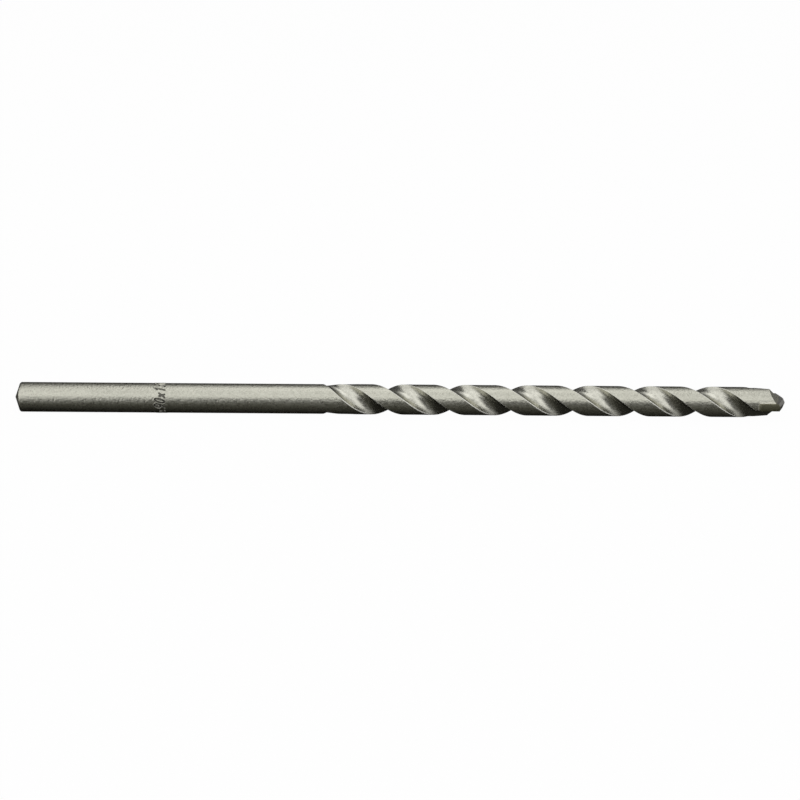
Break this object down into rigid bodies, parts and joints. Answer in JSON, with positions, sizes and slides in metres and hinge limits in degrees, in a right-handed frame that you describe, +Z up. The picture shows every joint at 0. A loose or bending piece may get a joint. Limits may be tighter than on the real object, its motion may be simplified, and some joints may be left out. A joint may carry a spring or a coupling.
{
  "type": "masonry drill bit",
  "caption": "Masonry drill bit: plain round shank with a coned end, twin right-hand spiral flutes, and a slotted head with a brazed carbide plate ground to a point",
  "frame": {"origin": "on the bit's axis, where the straight wall of the shank begins, next to the coned rear end", "axes": "+X along the axis toward the point, +Z up, with the broad faces of the carbide plate level"},
  "size_m": [0.15, 0.006, 0.0059],
  "materials": {
    "steel": "fine blasted steel with a satin sheen",
    "carbide": "ground, dull grey",
    "braze": "heat-stained, dull"
  },
  "bodies": {
    "root": {"drill_body": "steel", "carbide_tip": "carbide", "braze_seam": "braze"}
  },
  "joints": []
}
